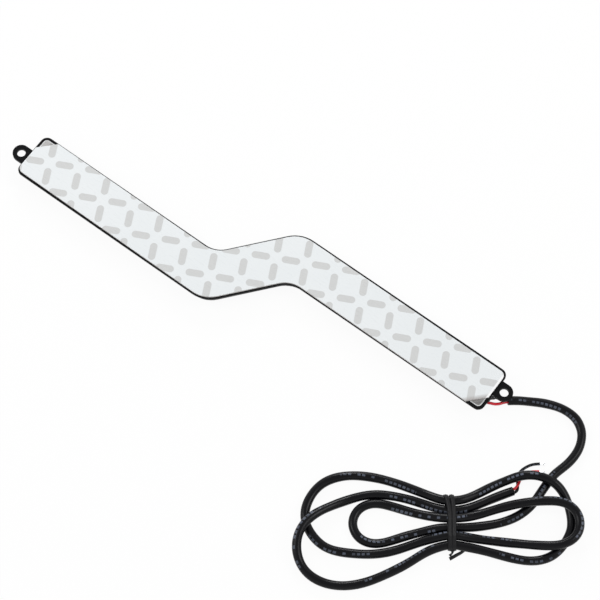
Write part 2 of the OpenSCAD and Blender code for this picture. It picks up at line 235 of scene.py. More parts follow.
def print_mask(tree):
    """1 inside the liner's printed marks: short round-ended bars laid herringbone fashion."""
    coords = add(tree, "TexCoord").outputs["Object"]
    turn = (0, 0, math.radians(PRINT_TURN))
    cells = (1 / PRINT_CELL, 1 / PRINT_CELL, 1)
    turned = add(
        tree, "Mapping", {"Vector": coords, "Rotation": turn, "Scale": cells}
    ).outputs["Vector"]
    axes = add(tree, "SeparateXYZ", {"Vector": turned}).outputs
    index = [sums(tree, "FLOOR", axes[k]) for k in (0, 1)]
    local = [sums(tree, "SUBTRACT", sums(tree, "FRACT", axes[k]), 0.5) for k in (0, 1)]
    parity = sums(tree, "FLOORED_MODULO", sums(tree, "ADD", *index), 2.0)
    side = sums(tree, "SUBTRACT", sums(tree, "MULTIPLY", parity, 2.0), 1.0)
    half_root = math.sqrt(0.5)
    across = sums(tree, "MULTIPLY", side, local[1])
    down = sums(tree, "MULTIPLY", side, local[0])
    length = sums(tree, "MULTIPLY", sums(tree, "ADD", local[0], across), half_root)
    width = sums(tree, "MULTIPLY", sums(tree, "SUBTRACT", local[1], down), half_root)
    beyond = sums(tree, "SUBTRACT", sums(tree, "ABSOLUTE", length), BAR_HALF)
    past_end = sums(tree, "MAXIMUM", beyond, 0.0)
    squares = [sums(tree, "MULTIPLY", d, d) for d in (past_end, width)]
    far = sums(tree, "SQRT", sums(tree, "ADD", *squares))
    return mapped(tree, far, (BAR_R + BAR_EDGE, BAR_R - BAR_EDGE), (0.0, 1.0))


def liner_film():
    """White release film, slightly wavy: grey print, scuffs, painted highlight at its end, painted
    shade at the cut.
    """
    # The last colour is a painted highlight along the film's end
    white, ink, end_highlight_colour = (0.80, 0.835, 0.85), (0.615, 0.62, 0.615), (0.95, 0.955, 0.96)
    material, tree, shader = new_material("liner_film", white, 0.3, Specular_IOR_Level=0.35)
    coords = place(tree)
    wear = mapped(tree, noise(tree, coords, 0.5 * MM, 4.0, 0.6), (0.3, 0.75), (0.82, 1.0))
    mark = sums(tree, "MULTIPLY", print_mask(tree), wear)
    cloud = noise(tree, coords, 18 * MM, 2.0)
    paper = blended(tree, cloud, white, (0.84, 0.865, 0.875))
    along_arm = add(tree, "SeparateXYZ", {"Vector": coords}).outputs["X"]
    # Painted highlight: the film turns paler along its end, for the light on its edge
    end_highlight = mapped(tree, along_arm, END_HIGHLIGHT, (0.0, 1.0))
    # Painted shade: the film turns grey toward the cut corner by the cord
    cut_shade = toward_cut(tree, CUT_SHADE, (0.0, 0.85))
    printed = blended(tree, cut_shade, blended(tree, mark, paper, ink), (0.40, 0.375, 0.365))
    tree.links.new(blended(tree, end_highlight, printed, end_highlight_colour), shader.inputs["Base Color"])
    scuff = noise(tree, place(tree, (0.25, 1.4, 1)), 1.2 * MM, 5.0, 0.65)
    tree.links.new(mapped(tree, scuff, (0.4, 0.7), (0.26, 0.42)), shader.inputs["Roughness"])
    waves = noise(tree, coords, 11 * MM, 1.0)
    relief(tree, shader, [(waves, 0.18 * MM), (scuff, 0.004 * MM)])
    return material


def brushed_metal(name, colour, roughness, stretch, size, depth, dull_and_reflection_tone=None):
    """Metal with fine lines along one axis; a second, darker colour adds clouds and a painted dark
    reflection.
    """
    material, tree, shader = new_material(name, colour, roughness[0], Metallic=1.0)
    lines = noise(tree, place(tree, stretch), size, 4.0, 0.6)
    tree.links.new(mapped(tree, lines, (0.3, 0.7), roughness), shader.inputs["Roughness"])
    dim = tuple(0.82 * c for c in colour)
    tone = blended(tree, mapped(tree, lines, (0.35, 0.7), (0, 1)), dim, colour)
    if dull_and_reflection_tone:
        cloud = mapped(tree, noise(tree, place(tree), 5 * MM, 1.0), (0.42, 0.58), (0.0, 1.0))
        # Painted reflection: the plate darkens toward the outer cut corner by the cord, as if
        # mirroring dim surroundings
        dark_reflection = toward_cut(tree, DARK_REFLECTION, (0.0, 0.92))
        tone = blended(tree, sums(tree, "MAXIMUM", cloud, dark_reflection), tone, dull_and_reflection_tone)
    tree.links.new(tone, shader.inputs["Base Color"])
    relief(tree, shader, [(lines, depth)])
    return material


def soft_rubber(name, colour, pore, roughness, specular=0.3):
    """Rubber, foam or sealant with small pores."""
    material, tree, shader = new_material(name, colour, roughness[0], Specular_IOR_Level=specular)
    coords = place(tree)
    pores = noise(tree, coords, pore, 3.0)
    dark = tuple(0.7 * c for c in colour)
    tone = blended(tree, mapped(tree, pores, (0.35, 0.6), (0, 1)), dark, colour)
    tree.links.new(tone, shader.inputs["Base Color"])
    tree.links.new(mapped(tree, pores, (0.3, 0.7), roughness), shader.inputs["Roughness"])
    relief(tree, shader, [(pores, 0.12 * pore)])
    return material


def clear_lens():
    """Polished clear plastic with faint moulding flow."""
    material, tree, shader = new_material(
        "clear_lens", (0.95, 0.975, 0.985), 0.03, Transmission_Weight=1.0, IOR=1.49
    )
    coords = place(tree)
    haze = noise(tree, coords, 7 * MM, 4.0)
    tree.links.new(mapped(tree, haze, (0.3, 0.7), (0.02, 0.07)), shader.inputs["Roughness"])
    relief(tree, shader, [(noise(tree, coords, 5 * MM, 1.0), 0.01 * MM)])
    return material


def board_mask():
    """White solder mask over faint copper tracks."""
    white = (0.80, 0.81, 0.775)
    material, tree, shader = new_material("board_mask", white, 0.35, Specular_IOR_Level=0.4)
    coords = place(tree)
    pattern = {
        "Vector": coords, "Scale": 1.0, "Mortar Size": 0.16 * MM, "Mortar Smooth": 0.3,
        "Brick Width": 13.2 * MM, "Row Height": 2.7 * MM,
    }
    tracks = add(tree, "TexBrick", pattern).outputs["Fac"]
    weave = noise(tree, coords, 0.5 * MM, 2.0)
    tone = blended(tree, mapped(tree, tracks, (0, 1), (0, 0.55)), white, (0.62, 0.66, 0.58))
    tree.links.new(tone, shader.inputs["Base Color"])
    tree.links.new(mapped(tree, weave, (0.3, 0.7), (0.3, 0.42)), shader.inputs["Roughness"])
    relief(tree, shader, [(tracks, -0.03 * MM), (weave, 0.006 * MM)])
    return material


def phosphor_gel():
    """Yellow phosphor in clear silicone, slightly mottled."""
    yellow = (0.86, 0.66, 0.13)
    material, tree, shader = new_material(
        "phosphor_gel", yellow, 0.22, Subsurface_Weight=0.25, Subsurface_Scale=0.5 * MM
    )
    mottle = noise(tree, place(tree), 0.25 * MM, 3.0)
    tree.links.new(blended(tree, mottle, yellow, (0.93, 0.80, 0.30)), shader.inputs["Base Color"])
    tree.links.new(mapped(tree, mottle, (0.3, 0.7), (0.18, 0.3)), shader.inputs["Roughness"])
    relief(tree, shader, [(mottle, 0.01 * MM)])
    return material


PAINTS = {
    "frame_black": moulded_plastic(
        "frame_plastic", (0.006, 0.006, 0.0066), (0.016, 0.016, 0.017), (0.36, 0.5),
        0.11 * MM, 0.006 * MM, 0.07,
    ),
    "lens_clear": clear_lens(),
    "silicone_pale": soft_rubber("pale_silicone", (0.74, 0.76, 0.765), 0.3 * MM, (0.35, 0.5)),
    "board_white": board_mask(),
    "diode_white": moulded_plastic(
        "diode_body", (0.84, 0.83, 0.76), (0.9, 0.9, 0.86), (0.28, 0.4),
        0.08 * MM, 0.004 * MM, 0.4,
    ),
    "chip_black": moulded_plastic(
        "chip_body", (0.02, 0.02, 0.022), (0.06, 0.06, 0.06), (0.45, 0.6),
        0.07 * MM, 0.006 * MM, 0.3,
    ),
    "pad_grey": soft_rubber("heat_pad", (0.40, 0.44, 0.48), 0.6 * MM, (0.6, 0.8)),
    # Its last colour makes clouds on the plate and its painted dark reflection by the cut corner
    "plate_aluminium": brushed_metal(
        "brushed_plate", (0.58, 0.572, 0.565), (0.34, 0.5), (0.05, 1, 1),
        0.16 * MM, 0.004 * MM, (0.22, 0.215, 0.21),
    ),
    "tape_foam": soft_rubber("foam_tape", (0.74, 0.71, 0.695), 0.22 * MM, (0.65, 0.85), 0.15),
    "liner_white": liner_film(),
    "solder": brushed_metal(
        "tinned", (0.72, 0.73, 0.75), (0.16, 0.34), (1, 1, 1), 0.3 * MM, 0.02 * MM
    ),
    "seal_black": moulded_plastic(
        "seal_gloss", (0.008, 0.008, 0.009), (0.02, 0.02, 0.02), (0.08, 0.2),
        0.9 * MM, 0.06 * MM, 0.5,
    ),
    "lead_red": jacket(
        "red_insulation", (0.70, 0.018, 0.035), (0.22, 0.34), 0.4, (0.74, 0.10, 0.11)
    ),
    "cord_black": jacket(
        "cord_jacket", (0.0028, 0.0028, 0.0040), (0.22, 0.32), 0.17,
        (0.04, 0.04, 0.045), (0.105, 0.12, 0.155),
    ),
    "tie_black": moulded_plastic(
        "tie_vinyl", (0.007, 0.007, 0.008), (0.02, 0.02, 0.02), (0.26, 0.4),
        0.25 * MM, 0.01 * MM, 0.2,
    ),
}
PHOSPHOR = phosphor_gel()

# Carried-over CAD nodes: the paint of each, by its name or by how its name starts

NODE_PAINTS = {
    "housing": "frame_black", "lens": "lens_clear", "lens_seal": "silicone_pale",
    "led_board": "board_white", "led_": "diode_white", "resistor_": "chip_black",
    "polarity_diode": "chip_black", "thermal_pad": "pad_grey", "back_plate": "plate_aluminium",
    "plate_seal": "silicone_pale", "adhesive_tape": "tape_foam", "release_liner": "liner_white",
    "solder_": "solder", "wire_seal": "seal_black", "lead_red": "lead_red",
    "lead_black": "cord_black", "cord_": "cord_black", "hank_tie": "tie_black",
    "tail_red": "lead_red", "tail_black": "cord_black",
}
for node_name, node in NODES.items():
    starts = [k for k in NODE_PAINTS if node_name.startswith(k)]
    key = node_name if node_name in NODE_PAINTS else starts[0]
    node.data.materials.clear()
    node.data.materials.append(PAINTS[NODE_PAINTS[key]])


# Mesh pieces


SHARP_ANGLE = math.radians(40)


def piece_of(name, points, faces, slot_name, replaced=(), material=None, layers=None):
    """A smooth-shaded piece on the body, from points in metres, with its steep edges sharp."""
    mesh = bpy.data.meshes.new(name)
    corners = [tuple(map(float, p)) for p in points]
    mesh.from_pydata(corners, [], [tuple(map(int, f)) for f in faces])
    mesh.update()
    mesh.polygons.foreach_set("use_smooth", [True] * len(mesh.polygons))
    mesh.set_sharp_from_angle(angle=SHARP_ANGLE)
    for layer, (kind, values) in (layers or {}).items():
        attribute = mesh.attributes.new(layer, kind, "POINT")
        field = "value" if kind == "FLOAT" else "vector"
        attribute.data.foreach_set(field, np.asarray(values, np.float32).ravel())
    mesh.materials.append(material or PAINTS[slot_name])
    piece = bpy.data.objects.new(name, mesh)
    bpy.context.scene.collection.objects.link(piece)
    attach(piece, "root")
    if replaced:
        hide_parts(*replaced)
    return piece


def joined(parts):
    """Points and faces of several (points, faces) as one."""
    points, faces, count = [], [], 0
    for p, f in parts:
        points.append(np.asarray(p, float))
        faces += [[i + count for i in face] for face in f]
        count += len(p)
    return np.concatenate(points), faces


def smooth_line(points, step):
    """Natural cubic spline through the points, sampled about a step apart."""
    p = np.asarray(points, float)
    t = np.concatenate([[0], np.cumsum(np.linalg.norm(np.diff(p, axis=0), axis=1))])
    n, h = len(p), np.diff(t)
    system, right = np.zeros((n, n)), np.zeros((n, 3))
    system[0, 0] = system[-1, -1] = 1
    for i in range(1, n - 1):
        system[i, i - 1 : i + 2] = h[i - 1], 2 * (h[i - 1] + h[i]), h[i]
        right[i] = 6 * ((p[i + 1] - p[i]) / h[i] - (p[i] - p[i - 1]) / h[i - 1])
    bend = np.linalg.solve(system, right)
    at = np.linspace(0, t[-1], math.ceil(t[-1] / step) + 1)
    k = np.clip(np.searchsorted(t, at, side="right") - 1, 0, n - 2)
    a, b = ((t[k + 1] - at) / h[k])[:, None], ((at - t[k]) / h[k])[:, None]
    pull = (h[k] ** 2)[:, None] / 6
    return a * p[k] + b * p[k + 1] + ((a**3 - a) * bend[k] + (b**3 - b) * bend[k + 1]) * pull


def frames(line):
    """Heading, side and up at each point of a line, turning as little as they can."""
    ahead = np.gradient(line, axis=0)
    ahead /= np.linalg.norm(ahead, axis=1)[:, None]
    up = np.zeros_like(line)
    start = np.array([0.0, 0.0, 1.0]) if abs(ahead[0, 2]) < 0.9 else np.array([1.0, 0.0, 0.0])
    up[0] = start - (start @ ahead[0]) * ahead[0]
    for i in range(1, len(line)):
        up[i] = up[i - 1] - (up[i - 1] @ ahead[i]) * ahead[i]
        up[i] /= np.linalg.norm(up[i])
    up[0] /= np.linalg.norm(up[0])
    return ahead, np.cross(ahead, up), up


def turned_flat(points, angle, at):
    """Points turned about Z and then moved."""
    p = np.asarray(points, float)
    c, s = math.cos(angle), math.sin(angle)
    turned = [c * p[:, 0] - s * p[:, 1], s * p[:, 0] + c * p[:, 1], p[:, 2]]
    return np.stack(turned, axis=1) + at


def ring_faces(rings, n):
    """Quads between each ring of n points and the next one."""
    quads = []
    for first in range(0, (rings - 1) * n, n):
        for i in range(n):
            j = (i + 1) % n
            quads.append([first + i, first + j, first + n + j, first + n + i])
    return quads


def end_fans(first, last, n, low, high):
    """Triangles that close the first ring of n points at low and the last one at high."""
    fans = [[low, first + (j + 1) % n, first + j] for j in range(n)]
    return fans + [[high, last + j, last + (j + 1) % n] for j in range(n)]


def end_faces(rings, n):
    """Flat faces over the first and the last ring of n points."""
    last = (rings - 1) * n
    return [list(range(n))[::-1], list(range(last, last + n))]


def tube(line, radius, sides, mouth=None, lumps=None):
    """Closed round tube along a line.

    mouth is (inner radius, depth) of a hollow at both ends, and lumps adds to the radius at a
    distance along the line and an angle round it.
    """
    ahead, side, up = frames(line)
    along = np.concatenate([[0], np.cumsum(np.linalg.norm(np.diff(line, axis=0), axis=1))])
    angle = np.arange(sides) * 2 * math.pi / sides
    wheel = np.stack([np.cos(angle), np.sin(angle)], axis=1)

    def ring(i, r, back):
        r = r + (lumps(along[i], angle) if lumps else 0.0)
        r = np.broadcast_to(r, (sides,))[:, None]
        return line[i] + back * ahead[i] + r * (wheel[:, :1] * side[i] + wheel[:, 1:] * up[i])

    last = len(line) - 1
    soft = 0.06 * radius
    rings = [(0, radius - soft, 0.0), (0, radius, soft)]
    rings += [(i, radius, 0.0) for i in range(1, last)]
    rings += [(last, radius, -soft), (last, radius - soft, 0.0)]
    if mouth:
        inner, depth = mouth
        rings = [(0, inner, depth), (0, inner, 0.0), *rings]
        rings += [(last, inner, 0.0), (last, inner, -depth)]
    points = np.concatenate([ring(*r) for r in rings])
    faces = ring_faces(len(rings), sides) + end_faces(len(rings), sides)
    places = np.repeat([along[i] for i, _, _ in rings], sides)
    section = np.tile(np.column_stack([wheel, np.zeros(sides)]), (len(rings), 1))
    layers = {"along": ("FLOAT", places), "section": ("FLOAT_VECTOR", section)}
    return points, faces, layers


# Cord: from the lamp's end wall round a free bend into the hank, in the CAD's millimetres

CORD_D, CORD_STEP, CORD_SIDES = 4.0, 0.9, 20
CORE_D, CORE_STEP, CORE_SIDES, CORE_PLAY = 1.3, 0.35, 16, 0.01
# Heights of the strands under the tie
LOW, HIGH = 2.8, 4.08
END_AT = np.array([115.75, 14.85, 0.0])
CORD_RUN = END_AT + [
    (6.2, 1.5, 3.8), (10.1, 4.6, 3.2), (14, 7.3, 2.4), (18.1, 9.8, 2), (22.2, 11.6, 2),
    (26.2, 12.8, 2), (30.3, 13.2, 2), (34.3, 12.6, 2), (37.4, 11, 2), (39.8, 8.8, 2),
    (41.6, 5.8, 2), (42.7, 2.5, 2), (43.1, -1.3, 2), (42.8, -5.4, 2), (41.9, -9.4, 2),
]
# The hank's own frame: X along the bow and the origin under the tie
HANK_AT = END_AT + (18.1, -57.3, 0.0)
HANK_TURN = math.radians(36.3)
CORD_WOUND = [
    # under the two right loops
    (44.4, 21.9, 2), (41, 17.8, 2), (37.8, 13.2, 2), (34.4, 8.6, 2), (29.6, 4.4, 2), (22.5, 1, 2),
    (14, -0.9, 2.05), (6, -1.75, 2.4), (0, -1.9, LOW), (-6, -2.3, 2.5), (-14, -4, 2.05),
    (-21, -6, 2),
    # small left loop
    (-27.3, -8, 2), (-33.3, -8.7, 2), (-39.2, -6.1, 2), (-41.8, 0, 2), (-39.2, 6.1, 2),
    (-33.3, 8.7, 2), (-27, 8, 2), (-20, 5.9, 2), (-13, 3.9, 2.3), (-6, 2.4, 3.4), (0, 1.85, HIGH),
    (6, 2.4, 3.6),
    # long right loop
    (13, 4.1, 3.4), (20, 6.1, 4), (27, 7.6, 5.2), (33, 8.4, 6.1), (39.6, 8.9, 6.1), (46, 8.5, 6.1),
    (50.2, 6.6, 6.1), (52.9, 3.3, 6), (53.8, -0.7, 5.9), (52.9, -4.7, 5.9), (50.2, -8, 6),
    (46, -9.9, 5.8), (38.4, -10.2, 4.6), (30, -9.1, LOW), (22, -8.1, 2), (14, -7.2, 2.1),
    (6, -6.2, 3.1), (0, -5.65, HIGH), (-6, -6.3, 3.1),
    # upper left loop
    (-14, -8.3, 2.1), (-23, -11.4, 2), (-33, -13.3, 2), (-43.5, -12.9, 2), (-53, -10.5, 2),
    (-58.9, -5.2, 2), (-62, 2.6, 2), (-60, 11.2, 2), (-54.2, 17.8, 2), (-46, 20.8, 2),
    (-37, 20.9, 2), (-27, 18.9, 2), (-17, 15.4, 2), (-9, 12.1, 2.4), (-4.5, 10.25, 3.5),
    (0, 9.55, 3.98), (4.5, 10.15, 3.5),
    # big right loop
    (10, 12.4, 2.4), (17, 15.9, 2.5), (24, 18.7, 3.6), (31, 20.4, 5.2), (38, 19.6, 6.1),
    (44, 16.7, 5.6), (48.2, 11.8, 3.3), (50.3, 5.6, 2), (50.6, -1.4, 2), (47.6, -8.2, 2),
    (42.2, -13.7, 2), (34.6, -16.1, 2), (26, -15.2, 2), (17, -12.8, 2), (9, -10.8, 2.1),
    (4, -9.9, 2.5), (0, -9.4, LOW), (-4, -9.95, 2.5),
    # big lower left loop
    (-10, -12, 2.1), (-18, -16.8, 2), (-27, -21.6, 2), (-36, -25.3, 2), (-45, -27, 2),
    (-54.4, -25.6, 2), (-61.9, -20.6, 2.5), (-65.4, -12.6, 4.4), (-64.2, -4.4, 6), (-59, 2.2, 5.6),
    (-51.5, 7, 3.4), (-43, 10.6, 2), (-34, 12.6, 2), (-25, 12.1, 2), (-16, 10, 2), (-8, 7.3, 2.2),
    (0, 5.6, LOW), (7, 6.7, 2.3),
    # cut end
    (13, 9, 2.1), (19, 11.6, 2), (26.5, 14.5, 2),
]


def from_hank(points):
    """Points of the hank's frame in the row frame, both in millimetres."""
    return turned_flat(points, HANK_TURN, HANK_AT)


def on_floor(line, radius):
    """The line with no point lower than its own radius."""
    line = line.copy()
    line[:, 2] = np.maximum(line[:, 2], radius)
    return line


cord_line = smooth_line([*CORD_RUN, *from_hank(CORD_WOUND)], CORD_STEP)
cord_line = on_floor(cord_line, CORD_D / 2)
# Length of one turn of the cores, what the lumps may add to the radius, and (radius, depth) of
# the hollow that the jacket leaves round the cores at each end
CORE_LAY, CORD_PLAY, CORD_MOUTH = 34.0, 0.03, (1.55, 1.4)


def cord_lumps(s, angle):
    """The two cores show through the jacket as a faint slow twist."""
    twist = angle - 2 * math.pi * s / CORE_LAY
    return 0.035 * np.cos(2 * twist) + 0.012 * math.sin(s / 2.3)


cord_points, cord_faces, cord_layers = tube(
    cord_line, CORD_D / 2 - CORD_PLAY, CORD_SIDES, CORD_MOUTH, cord_lumps
)
cord = piece_of(
    "round_cord", cord_points * MM, cord_faces, "cord_black", ("cord_run", "cord_hank"),
    layers=cord_layers,
)

# Leads from the end wall to the cord, and the bared cores at its other end

# Each lead: node, slot, place across the end wall, side of the cord, bends from the wall
LEAD_Z = 4.75
CORE_OFF = 0.70
LEADS = {
    "red_lead": (
        "lead_red", "lead_red", -4.6, -1,
        [(0.9, 0.4, 0), (2.4, 1.1, -0.1), (4.3, 2.8, -0.4)],
    ),
    "black_lead": (
        "lead_black", "cord_black", -2.2, 1,
        [(0.7, 0.9, 0), (2.2, 1.8, -0.1), (3.9, 2.6, -0.4)],
    ),
}
cord_ahead, cord_side, _ = frames(cord_line)


def core_piece(name, line, slot_name, node_name):
    """One insulated core, which lies with the cord."""
    points, faces, layers = tube(line, CORE_D / 2 - CORE_PLAY, CORE_SIDES)
    piece_of(name, points * MM, faces, slot_name, (node_name,), layers=layers)


for name, (node_name, slot_name, y, side, bends) in LEADS.items():
    mouth = END_AT + (0.0, y, LEAD_Z)
    end = cord_line[0] - CORE_OFF * side * cord_side[0]
    route = [mouth - (9, 0, 0), mouth - (6, 0, 0), mouth - (3, 0, 0), mouth]
    route += [mouth + b for b in bends]
    route += [end - 1.2 * cord_ahead[0], end + 1.3 * cord_ahead[0]]
    core_piece(name, smooth_line(route, CORE_STEP), slot_name, node_name)

# Each tail: node, slot, side of the cord, bends in the hank's frame
TAILS = {
    "red_tail": (
        "tail_red", "lead_red", 1,
        [(30.7, 21.6, 0.7), (31.8, 22.6, 0.7), (34.4, 23.4, 0.7), (38, 23.5, 0.7)],
    ),
    "black_tail": (
        "tail_black", "cord_black", -1,
        [(28.6, 20.8, 0.7), (29.7, 23.2, 0.7), (32, 25.2, 0.7), (35.2, 26.6, 0.8),
         (38.4, 26.9, 0.9)],
    ),
}
# The bared wires: radius, how many stand round the middle one, their distance from it, and the
# mean and the spread of their splay and of their reach
WIRE_R, WIRES_ROUND, WIRE_OFF = 0.11, 6, 0.26
WIRE_SPLAY, WIRE_REACH = (0.12, 0.05), (2.1, 0.35)
strand_parts = []
for name, (node_name, slot_name, side, bends) in TAILS.items():
    start = cord_line[-1] - CORE_OFF * side * cord_side[-1]
    ahead = cord_ahead[-1]
    inside = [start - 1.3 * ahead, start + 0.9 * ahead]
    line = smooth_line([*inside, *from_hank(bends)], CORE_STEP)
    core_piece(name, on_floor(line, CORE_D / 2), slot_name, node_name)
    tip = line[-1]
    tip_ahead, tip_side, tip_up = (v[-1] for v in frames(line))
    for k in range(WIRES_ROUND + 1):
        turn = 2 * math.pi * k / WIRES_ROUND
        middle_one = k == WIRES_ROUND
        off = 0.0 if middle_one else WIRE_OFF
        splay = 0.0 if middle_one else WIRE_SPLAY[0] + WIRE_SPLAY[1] * math.sin(3.1 * k)
        out = math.cos(turn) * tip_side + math.sin(turn) * tip_up
        reach = WIRE_REACH[0] + WIRE_REACH[1] * math.sin(5.0 * k + side)
        steps = [
            (off, -0.6), (off, 0.4), (off + splay, 0.6 * reach), (off + 2.6 * splay, reach),
        ]
        wire = smooth_line([tip + o * out + a * tip_ahead for o, a in steps], 0.3)
        strand_parts.append(tube(on_floor(wire, WIRE_R), WIRE_R, 8)[:2])
strand_points, strand_faces = joined(strand_parts)
piece_of("core_strands", strand_points * MM, strand_faces, "solder")

# Wire tie: two turns of a flat ribbon with a ridge over its wire, and its two flat ends

TIE_W, TIE_RIDGE, TIE_WING = 2.0, 0.4, 0.2
TIE_GRIP, TIE_STEP = 0.4, 0.6
STRANDS = [(-9.4, LOW), (-5.65, HIGH), (-1.9, LOW), (1.85, HIGH), (5.6, LOW), (9.5, HIGH)]
ribbon = [
    (-TIE_W / 2, 0.0), (-TIE_W / 2 + 0.12, TIE_WING), (-0.5, TIE_WING), (-0.34, 0.28),
    (-0.17, TIE_RIDGE - 0.03), (0.0, TIE_RIDGE), (0.17, TIE_RIDGE - 0.03), (0.34, 0.28),
    (0.5, TIE_WING), (TIE_W / 2 - 0.12, TIE_WING),
]
ribbon += [(-w, -t) for w, t in ribbon]


def taut_band(centres, radius, step):
    """Closed line that lies taut round circles of one radius, walked clockwise from above."""
    turns = np.linspace(0, 2 * math.pi, 48, endpoint=False)
    rim = [
        Vector((y + radius * math.cos(a), z + radius * math.sin(a)))
        for y, z in centres
        for a in turns
    ]
    loop = np.array([rim[i] for i in convex_hull_2d(rim)])
    area = np.sum(loop[:, 0] * np.roll(loop[:, 1], -1) - np.roll(loop[:, 0], -1) * loop[:, 1])
    loop = loop[::-1] if area > 0 else loop
    loop = np.concatenate([loop, loop[:1]])
    along = np.concatenate([[0], np.cumsum(np.linalg.norm(np.diff(loop, axis=0), axis=1))])
    at = np.linspace(0, along[-1], round(along[-1] / step), endpoint=False)
    return np.stack([np.interp(at, along, loop[:, k]) for k in (0, 1)], axis=1)


tie_path = taut_band(STRANDS, CORD_D / 2 + TIE_GRIP, TIE_STEP)
tie_half = STRANDS[-1][0]


def tie_turn(middle, lean, wave):
    """One turn of the ribbon, closed round the strands, that leans at one side of the hank."""
    points = []
    for i, (y, z) in enumerate(tie_path):
        step = tie_path[(i + 1) % len(tie_path)] - tie_path[i - 1]
        step /= np.linalg.norm(step)
        shift = middle + lean * max(y, 0.0) ** 2 / tie_half**2 + 0.1 * math.sin(y / wave)
        points += [(w + shift, y - t * step[1], z + t * step[0]) for w, t in ribbon]
    rings = len(tie_path)
    count = rings * len(ribbon)
    faces = [[i % count for i in face] for face in ring_faces(rings + 1, len(ribbon))]
    return from_hank(points), faces


tie_parts = [tie_turn(-0.98, -0.95, 3.1), tie_turn(0.8, -0.55, 4.3)]
# Angle at which an end of the ribbon starts, how far it twists, and its way, in the hank's frame
TIE_ENDS = [
    (0.2, 1.5, [(0.1, -11.7, 2.9), (0.2, -12.4, 2.2), (-0.3, -13.0, 1.2), (-1.0, -13.7, 0.7)]),
    (
        1.1, -0.5,
        [(5.6, -10.9, 0.9), (3.9, -12.2, 0.8), (2.1, -13.2, 0.75), (0.5, -14.1, 0.7),
         (-1.1, -15.0, 0.6)],
    ),
]
END_NARROWER, END_STEP, END_LIFT = 0.85, 0.25, 0.03
for first, twist, bends in TIE_ENDS:
    line = smooth_line(bends, END_STEP)
    ahead, aside, up = frames(line)
    lean = first + twist * np.linspace(0, 1, len(line))[:, None]
    flat = np.cos(lean) * aside + np.sin(lean) * up
    edge = np.cross(ahead, flat)
    points = [
        at + END_NARROWER * w * wide + t * thick
        for at, wide, thick in zip(line, flat, edge)
        for w, t in ribbon
    ]
    faces = ring_faces(len(line), len(ribbon)) + end_faces(len(line), len(ribbon))
    tie_parts.append((from_hank(on_floor(np.array(points), END_LIFT)), faces))
tie_points, tie_faces = joined(tie_parts)
piece_of("wire_tie", tie_points * MM, tie_faces, "tie_black", ("hank_tie",))

# Sealant: the plug round the leads, and a spot of it over the edge of the ear beside them


def blob(centre, half, square=1.0):
    """Lumpy closed bead, boxier where square is below 1."""
    levels, turns = 16, 28
    centre, half = np.array(centre), np.array(half)
    points = []
    for i in range(1, levels):
        rise = math.pi * (i / levels - 0.5)
        for j in range(turns):
            turn = 2 * math.pi * j / turns
            way = np.array([
                math.cos(rise) * math.cos(turn), math.cos(rise) * math.sin(turn), math.sin(rise),
            ])
            lump = 1 + 0.05 * math.sin(3 * turn + 1.3) * math.cos(rise)
            lump += 0.03 * math.sin(5 * rise + 2 * turn)
            points.append(centre + lump * half * np.copysign(np.abs(way) ** square, way))
    points += [centre - (0, 0, half[2]), centre + (0, 0, half[2])]
    rim = (levels - 2) * turns
    faces = ring_faces(levels - 1, turns)
    faces += end_fans(0, rim, turns, rim + turns, rim + turns + 1)
    return np.array(points), faces


seal_points, seal_faces = blob((114.5, 11.45, 4.83), (1.4, 2.6, 1.14), 0.6)
piece_of("seal_bead", seal_points * MM, seal_faces, "seal_black", ("wire_seal",))
spot_points, spot_faces = blob((116.3, 12.75, 6.95), (1.3, 1.05, 0.85))
piece_of("glue_spot", spot_points * MM, spot_faces, "seal_black")

# On the board: phosphor in each diode's cup, and tinned ends and solder on diodes and resistors

BEND = math.radians(49.5)
BOARD_Z = 3.0
DIODE_L, DIODE_W = 3.5, 2.0
RESISTOR_L, RESISTOR_W = 3.2, 1.64
CUP_R = 1.08
# Radius and height of the phosphor's outline
GEL = [(0.0, 2.31), (0.5, 2.295), (0.88, 2.262), (CUP_R, 2.235), (CUP_R, 2.44), (0.0, 2.44)]
# Distance out from the part's end, and height over the board on the side that faces the lens
DIODE_END = [
    (-0.08, 0.5), (0.04, 0.48), (0.08, 0.27), (0.22, 0.11), (0.46, 0.03), (0.62, 0.0),
    (-0.08, 0.0),
]
CHIP_END = [
    (-0.45, 0.62), (-0.05, 0.62), (0.02, 0.56), (0.05, 0.34), (0.16, 0.15), (0.36, 0.04),
    (0.6, 0.0), (-0.45, 0.0),
]
END_TRIM = 0.05
SIZE_SLACK = 0.02


def place_of(node_name, length):
    """Middle of a part on the board, in millimetres, and the heading of its length."""
    low, high = (np.array(corner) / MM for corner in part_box(node_name))
    straight = abs(high[0] - low[0] - length) < SIZE_SLACK
    return (low + high) / 2, 0.0 if straight else BEND


def gel_disc(middle):
    """Phosphor that fills a cup, dished as it cures."""
    turns = 24
    rim = [(r, z) for r, z in GEL if r > 0]
    points = [
        (middle[0] + r * math.cos(a), middle[1] + r * math.sin(a), z)
        for r, z in rim
        for a in np.linspace(0, 2 * math.pi, turns, endpoint=False)
    ]
    points += [(middle[0], middle[1], GEL[0][1]), (middle[0], middle[1], GEL[-1][1])]
    far = (len(rim) - 1) * turns
    faces = [face[::-1] for face in ring_faces(len(rim), turns)]
    faces += end_fans(0, far, turns, far + turns, far + turns + 1)
    return np.array(points), faces


def end_cap(profile, half_length, half_width, side):
    """Tinned end of a part with its solder, drawn in at both sides."""
    inner = half_width - END_TRIM
    sections = [(-half_width, END_TRIM), (-inner, 0.0), (inner, 0.0), (half_width, END_TRIM)]
    points = []
    for y, trim in sections:
        for out, height in profile:
            x = half_length + out - (trim if out > 0 else 0.0)
            points.append((side * x, y, BOARD_Z - max(height - trim, 0.0)))
    faces = ring_faces(len(sections), len(profile)) + end_faces(len(sections), len(profile))
    return points, faces if side < 0 else [face[::-1] for face in faces]


